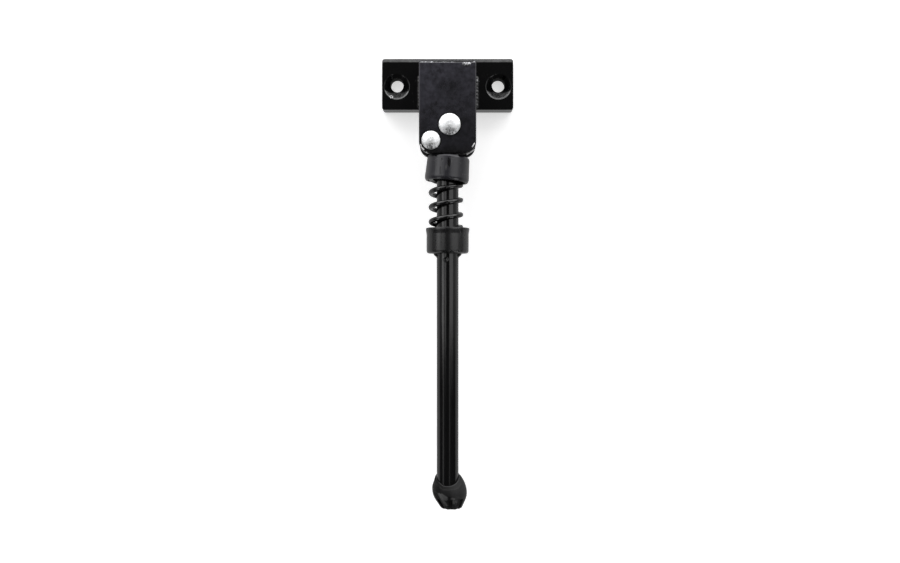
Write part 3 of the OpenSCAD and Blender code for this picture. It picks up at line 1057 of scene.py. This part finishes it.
class STAND_OT_leg(Operator):
    """Makes the leg: its bar, eye, ears and punch mark"""

    bl_idname = "stand.leg"
    bl_label = "Leg"

    end_chamfer = 1.0 * MM
    ear_half_width = 2.5 * MM
    ear_fade = 0.9 * MM
    ear_edge = 0.7 * MM
    mark_x = -1.0 * MM
    mark_depth = 0.42 * MM
    mark_rim = 0.07 * MM

    def execute(self, context):
        sizes, colours = settings()
        obj = joined("round_leg", [self.bar(sizes), self.eye(sizes)])
        obj.data.shade_smooth()
        dressed(obj, "leg", "leg_rod", leg_finish(colours))
        return {"FINISHED"}

    @staticmethod
    def heights(sizes, low, row=0.11 * MM, upper_rows=20, lower_rows=60):
        """Rows down the bar, close together round the ears and the punch mark."""
        above = SEAT_Z + 0.2 * MM - PIVOT_AT.z
        detail = SEAT_Z - sizes.ear_height - 3.2 * MM
        fine_rows = round((SEAT_Z - detail) / row)
        return [
            *(PIVOT_AT.z + above * i / upper_rows for i in range(upper_rows + 1)),
            SEAT_Z + 0.01 * MM,
            *(SEAT_Z + (detail - SEAT_Z) * i / fine_rows for i in range(fine_rows + 1)),
            *(detail + (low - detail) * i / lower_rows for i in range(1, lower_rows + 1)),
        ]

    def bar(self, sizes):
        radius = sizes.bar / 2
        sides = 2 * sizes.sides
        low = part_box("leg_rod")[0].z
        points = []
        for z in (*self.heights(sizes, low + self.end_chamfer), low):
            for i in range(sides):
                turn = math.tau * i / sides
                r = radius + (self.relief(sizes, turn, z) if z > low else -self.end_chamfer)
                points.append((r * math.cos(turn), LEG_Y + r * math.sin(turn), z))
        rings = len(points) // sides
        return mesh_object("bar", points, skin(rings, sides) + caps(rings, sides))

    def relief(self, sizes, turn, z):
        """How far the bar's skin stands out: ears at the sides, a dent at the front."""
        out = 0.0
        x, y = sizes.bar / 2 * math.cos(turn), sizes.bar / 2 * math.sin(turn)
        depth = SEAT_Z - z
        if 0 <= depth <= sizes.ear_height:
            fade = kept((self.ear_half_width - abs(y)) / self.ear_fade)
            fall = max(0.0, depth - self.ear_edge) / (sizes.ear_height - self.ear_edge)
            out += sizes.ear * fade * fade * (3 - 2 * fade) * (1 - fall) ** 1.2
        away = math.hypot(x - self.mark_x, depth - sizes.mark_drop) / (sizes.mark / 2)
        if y < 0 and away < 1.6:
            rim = math.exp(-((away - 1.15) ** 2) / 0.035)
            out += self.mark_rim * rim - self.mark_depth * max(0.0, 1 - away**2)
        return out

    @staticmethod
    def eye(sizes):
        outer, bore = sizes.eye / 2, sizes.rivet_hole / 2
        half = sizes.bar / 2
        profile = filleted(
            [(bore, -half), (outer, -half), (outer, half), (bore, half)],
            [0.3 * MM, 0.9 * MM, 0.9 * MM, 0.3 * MM],
        )
        return turned("eye", profile, sizes.sides, along_y(PIVOT_AT.x, LEG_Y, PIVOT_AT.z))


class STAND_OT_cups(Operator):
    """Makes the sliding upper cup and the lower cup on its ears"""

    bl_idname = "stand.cups"
    bl_label = "Cups"

    # Rub marks on the upper cup: place in mm, half width, half height and grey
    rubs = (
        (0.70, -46.9, 1.15, 3.4, 0.0005),
        (-2.9, -45.2, 0.45, 1.2, 0.001),
        (2.3, -46.0, 0.30, 2.6, 0.050),
        (-0.9, -49.6, 0.40, 2.0, 0.030),
        (-3.9, -51.5, 0.25, 3.0, 0.001),
    )
    flare = 0.55 * MM
    rim_curl = 0.7 * MM
    rim_height = 2 * MM
    inside = 0.4 * MM

    def execute(self, context):
        sizes, colours = settings()
        upper = melted(copy_of("upper_cup", "sliding_cup"), 0.21 * MM, 6)
        self.pressed(upper, sizes)
        paint = cup_finish("cup_paint", colours.cup, 0.25, rubs=self.rubs)
        dressed(upper, "cup", "upper_cup", paint)
        paint = cup_finish("seat_paint", colours.seat, 0.20)
        dressed(self.lower(sizes), "leg", "lower_cup", paint)
        return {"FINISHED"}

    def pressed(self, cup, sizes):
        """Draws the lip in to a slight flare with a rounded rim, and levels the cup's top."""
        lean = math.radians(sizes.lean)
        height = LOWER_CUP[1].z - SEAT_Z
        wall_r = wide(LOWER_CUP) / 2 - sizes.cup_lip
        down = Vector((-math.sin(lean), 0, -math.cos(lean)))
        centre = Vector((0, LEG_Y, CUP_TOP_Z - height / 2))
        bend = height - self.rim_height
        for vertex in cup.data.vertices:
            away = vertex.co - centre
            along = away.dot(down)
            aside = away - along * down
            depth = along + height / 2
            if aside.length > wall_r - self.inside:
                share = kept(depth / bend)
                curl = max(0.0, depth - bend) / self.rim_height
                reach = min(aside.length, wall_r)
                reach += self.flare * share**1.3 - self.rim_curl * curl**2
                vertex.co = centre + along * down + aside.normalized() * reach
            if vertex.co.y < FRONT_Y:
                brow = CUP_TOP_Z - 0.3 * MM - 14 * vertex.co.x**2
                vertex.co.z = min(vertex.co.z, brow)

    @staticmethod
    def lower(sizes):
        lip_r = wide(LOWER_CUP) / 2
        outer = lip_r - sizes.cup_lip
        inner = outer - sizes.cup_wall
        height = LOWER_CUP[1].z - SEAT_Z
        bore = sizes.bar / 2 + 0.1 * MM
        profile = filleted(
            [
                (bore, 0.0),
                (outer, 0.0),
                (outer, height - 3.2 * MM),
                (lip_r, height - 1.2 * MM),
                (lip_r, height),
                (inner, height),
                (inner, sizes.cup_floor),
                (bore, sizes.cup_floor),
            ],
            [v * MM for v in (0.2, 1.7, 2.5, 1.0, 0.45, 0.35, 0.7, 0.2)],
            steps=7,
        )
        return turned("seat_cup", profile, sizes.sides, Matrix.Translation((0, LEG_Y, SEAT_Z)))


class STAND_OT_spring(Operator):
    """Makes the coil spring between the cups"""

    bl_idname = "stand.spring"
    bl_label = "Spring"

    closed_turns = 0.75
    blend_turns = 0.5
    tip_shares = (0.93, 0.985)
    mouth_lift = 1.2 * MM
    mouth_turn = 0.17
    belly_share = 0.012
    drift = 0.35 * MM
    still = 2 * MM

    def execute(self, context):
        sizes, colours = settings()
        obj = self.coil(sizes)
        dressed(obj, None, "coil_spring", spring_finish(colours))
        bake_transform(obj)
        return {"FINISHED"}

    def rise(self, sizes, turns):
        """Height that the wire has gained after a number of turns."""
        over = turns - self.closed_turns
        blended = self.blend_turns * kept(over / self.blend_turns) ** 2 / 2
        open_turns = blended + max(0.0, over - self.blend_turns)
        return sizes.wire * turns + (sizes.pitch - sizes.wire) * open_turns

    def coil(self, sizes, ring_sides=28, turn_steps=72, small=0.01):
        radius = (wide(SPRING) - sizes.wire) / 2
        start_z = SEAT_Z + sizes.cup_floor + sizes.wire / 2
        extra = (sizes.pitch - sizes.wire) * (self.closed_turns + self.blend_turns / 2)
        turns = (SPRING[1].z - sizes.wire / 2 - start_z + extra) / sizes.pitch
        right_turn = (LOWER_CUP[1].z + sizes.crossing - start_z + extra) / sizes.pitch
        rings = math.ceil(turns * turn_steps)
        points = []
        for i in range(rings + 1):
            u = turns * i / rings
            a = math.tau * (u - right_turn)
            slope = (self.rise(sizes, u + small) - self.rise(sizes, u)) / small
            climb = math.atan2(slope, math.tau * radius)
            out = Vector((math.cos(a), math.sin(a), 0))
            side = Vector((math.sin(a), -math.cos(a), 0))
            up = math.sin(climb) * side + math.cos(climb) * Vector((0, 0, 1))
            mouth = math.exp(-(((u - right_turn) / self.mouth_turn) ** 2))
            height = start_z + self.rise(sizes, u) + self.mouth_lift * mouth
            belly = 1 + self.belly_share * math.sin(math.pi * kept((u - 1) / (turns - 1)))
            aside = SPRING_X - self.drift * kept(u - 1)
            centre = Vector((aside, LEG_Y, height)) + radius * belly * out
            from_end = min(i, rings - i)
            tip = self.tip_shares[from_end] if from_end < len(self.tip_shares) else 1.0
            for j in range(ring_sides):
                b = math.tau * j / ring_sides
                across = math.cos(b) * out + math.sin(b) * up
                points.append(centre + sizes.wire / 2 * tip * across)
        faces = skin(rings + 1, ring_sides) + caps(rings + 1, ring_sides)
        return mesh_object("wound_spring", points, faces)


class STAND_OT_foot(Operator):
    """Makes the moulded rubber foot"""

    bl_idname = "stand.foot"
    bl_label = "Rubber Foot"

    mouth_sag = 0.8 * MM
    left_lift = 0.7 * MM
    sole_wear = 0.45 * MM
    shoulder_dip = 0.42 * MM

    def execute(self, context):
        sizes, colours = settings()
        obj = melted(copy_of("rubber_foot", "moulded_foot"), 0.20 * MM, 5)
        self.sagged(obj)
        dressed(obj, "leg", "rubber_foot", rubber_finish(colours))
        return {"FINISHED"}

    def sagged(self, obj):
        """Lowers the mouth's front edge, wears the sole's front and draws in the shoulder."""
        top, sole = FOOT[1].z, FOOT[0].z
        for vertex in obj.data.vertices:
            spot = vertex.co
            front = kept((LEG_Y - spot.y) / (6 * MM))
            near_top = kept((spot.z - top + 11 * MM) / (5 * MM))
            near_sole = kept((sole + 2 * MM - spot.z) / (2 * MM))
            left = kept((-spot.x - 2.5 * MM) / (2 * MM))
            sag = (self.left_lift * left - self.mouth_sag) * near_top
            spot.z += (sag + self.sole_wear * near_sole) * front
            outer = kept((-spot.x - 5 * MM) / (1.5 * MM))
            shoulder = math.exp(-(((spot.z - top + 4.3 * MM) / (2 * MM)) ** 2))
            spot.x += self.shoulder_dip * outer * shoulder


# Studio


class STAND_OT_studio(Operator):
    """Makes the pale table, the soft lights and the camera"""

    bl_idname = "stand.studio"
    bl_label = "Studio"

    aim = Vector((0.0, -0.015, -0.08))

    def execute(self, context):
        studio = context.scene.stand_studio
        context.scene.view_settings.view_transform = "Standard"
        self.room(context, studio)
        self.table(studio)
        left, right, low = studio.left_light, studio.right_light, studio.low_light
        for name, power, turn, lift, width, height in (
            ("left_panel", left, -51, 22, 24, 56),
            ("fill_panel", studio.fill_light, -25, 22, 20, 56),
            ("right_panel", right, 39, 22, 44, 56),
            ("top_panel", studio.top_light, 0, 68, 110, 40),
            ("left_low", 0.32 * left, -46, -13, 11, 14),
            ("right_low", 0.32 * right, 21, -13, 9, 14),
            ("spot_low", 1.6 * low, 17, -33, 6, 7),
            ("edge_left", low, -55, -38, 16, 14),
            ("edge_right", 1.4 * low, 54, -38, 18, 14),
            ("side_left", 0.16 * left, -76, 22, 18, 56),
            ("side_right", 0.28 * right, 74, 22, 24, 56),
        ):
            self.panel(name, power, turn, lift, width, height)
        for name in ("spot_low", "edge_left", "edge_right"):
            bpy.data.objects[name].visible_diffuse = False
        self.camera(context, studio)
        return {"FINISHED"}

    @staticmethod
    def room(context, studio):
        """A white surround that is dimmer for the light it gives than for the eye."""
        f = Finish("pale_room", kind="worlds")
        seen_by_camera = f.node("ShaderNodeLightPath", output="Is Camera Ray")
        dim, white = (
            f.node("ShaderNodeBackground", {}, {"Color": (1, 1, 1, 1), "Strength": level})
            for level in (studio.room, 1.0)
        )
        shade = f.node("ShaderNodeMixShader", {}, {0: seen_by_camera, 1: dim, 2: white})
        f.node("ShaderNodeOutputWorld", {}, {"Surface": shade})
        context.scene.world = f.material

    @staticmethod
    def table(studio):
        """The pale table that the stand lies on, seen from its upper side only."""
        y = BACK_Y + studio.table_gap
        half = 2.0
        corners = [(-half, y, -half), (half, y, -half), (half, y, half), (-half, y, half)]
        mesh = bpy.data.meshes.new("pale_table")
        mesh.from_pydata(corners, [], [(0, 1, 2, 3)])
        f = Finish("pale_table")
        sides = []
        for grey, level in ((0.30, studio.table_bounce), (0.76, studio.table_glow)):
            diffuse = f.node("ShaderNodeBsdfDiffuse", {}, {"Color": (grey, grey, grey, 1)})
            glow = f.node("ShaderNodeEmission", {}, {"Strength": level})
            sides.append(f.node("ShaderNodeAddShader", {}, {0: diffuse, 1: glow}))
        seen_by_camera = f.node("ShaderNodeLightPath", output="Is Camera Ray")
        lit = f.node("ShaderNodeMixShader", {}, {0: seen_by_camera, 1: sides[0], 2: sides[1]})
        under = f.node("ShaderNodeNewGeometry", output="Backfacing")
        clear = f.node("ShaderNodeBsdfTransparent")
        shade = f.node("ShaderNodeMixShader", {}, {0: under, 1: lit, 2: clear})
        f.node("ShaderNodeOutputMaterial", {}, {"Surface": shade})
        mesh.materials.append(f.material)
        placed("pale_table", mesh)

    def panel(self, name, power, turn, lift, width, height, distance=2.0):
        """A soft light that covers a range of directions, in degrees, as the stand sees it."""
        light = bpy.data.lights.new(name, "AREA")
        light.shape = "RECTANGLE"
        light.size = 2 * distance * math.tan(math.radians(width / 2))
        light.size_y = 2 * distance * math.tan(math.radians(height / 2))
        light.energy = power * math.pi * light.size * light.size_y
        obj = placed(name, light)
        a, e = math.radians(turn), math.radians(lift)
        towards = Vector((math.sin(a) * math.cos(e), -math.cos(a) * math.cos(e), math.sin(e)))
        obj.location = self.aim + distance * towards
        obj.rotation_euler = towards.to_track_quat("Z", "Y").to_euler()
        obj.visible_camera = False

    @staticmethod
    def camera(context, studio):
        """The camera stands level, in front of the stand's middle."""
        data = bpy.data.cameras.new("camera")
        data.lens = studio.lens
        data.sensor_width = 36.0
        data.clip_start = 0.01
        data.clip_end = 50.0
        obj = placed("camera", data)
        obj.location = (studio.camera_x, -studio.distance, studio.camera_z)
        obj.rotation_euler = (math.radians(90), 0, 0)
        context.scene.camera = obj


class VIEW3D_PT_stand(Panel):
    """Lists the stand's pieces and settings"""

    bl_label = "Side Stand"
    bl_idname = "VIEW3D_PT_stand"
    bl_space_type = "VIEW_3D"
    bl_region_type = "UI"
    bl_category = "Stand"

    def draw(self, context):
        layout = self.layout
        scene = context.scene
        for title, group in (
            ("Sizes", scene.stand_sizes),
            ("Colours", scene.stand_colours),
            ("Studio", scene.stand_studio),
        ):
            box = layout.box()
            box.label(text=title)
            for name in group.__annotations__:
                box.prop(group, name)
        column = layout.column()
        for operator in OPERATORS:
            column.operator(operator.bl_idname)


OPERATORS = (
    STAND_OT_plate,
    STAND_OT_bracket,
    STAND_OT_welds,
    STAND_OT_rivets,
    STAND_OT_leg,
    STAND_OT_cups,
    STAND_OT_spring,
    STAND_OT_foot,
    STAND_OT_studio,
)
GROUPS = {
    "stand_sizes": StandSizes,
    "stand_colours": StandColours,
    "stand_studio": StudioSettings,
}
CLASSES = (*GROUPS.values(), *OPERATORS, VIEW3D_PT_stand)


def register():
    for cls in CLASSES:
        bpy.utils.register_class(cls)
    for name, group in GROUPS.items():
        setattr(bpy.types.Scene, name, PointerProperty(type=group))


def unregister():
    for name in GROUPS:
        delattr(bpy.types.Scene, name)
    for cls in reversed(CLASSES):
        bpy.utils.unregister_class(cls)


def main():
    register()
    bpy.ops.stand.plate()
    bpy.ops.stand.bracket()
    bpy.ops.stand.welds()
    bpy.ops.stand.rivets()
    bpy.ops.stand.leg()
    bpy.ops.stand.cups()
    bpy.ops.stand.spring()
    bpy.ops.stand.foot()
    bpy.ops.stand.studio()


if __name__ == "__main__":
    main()
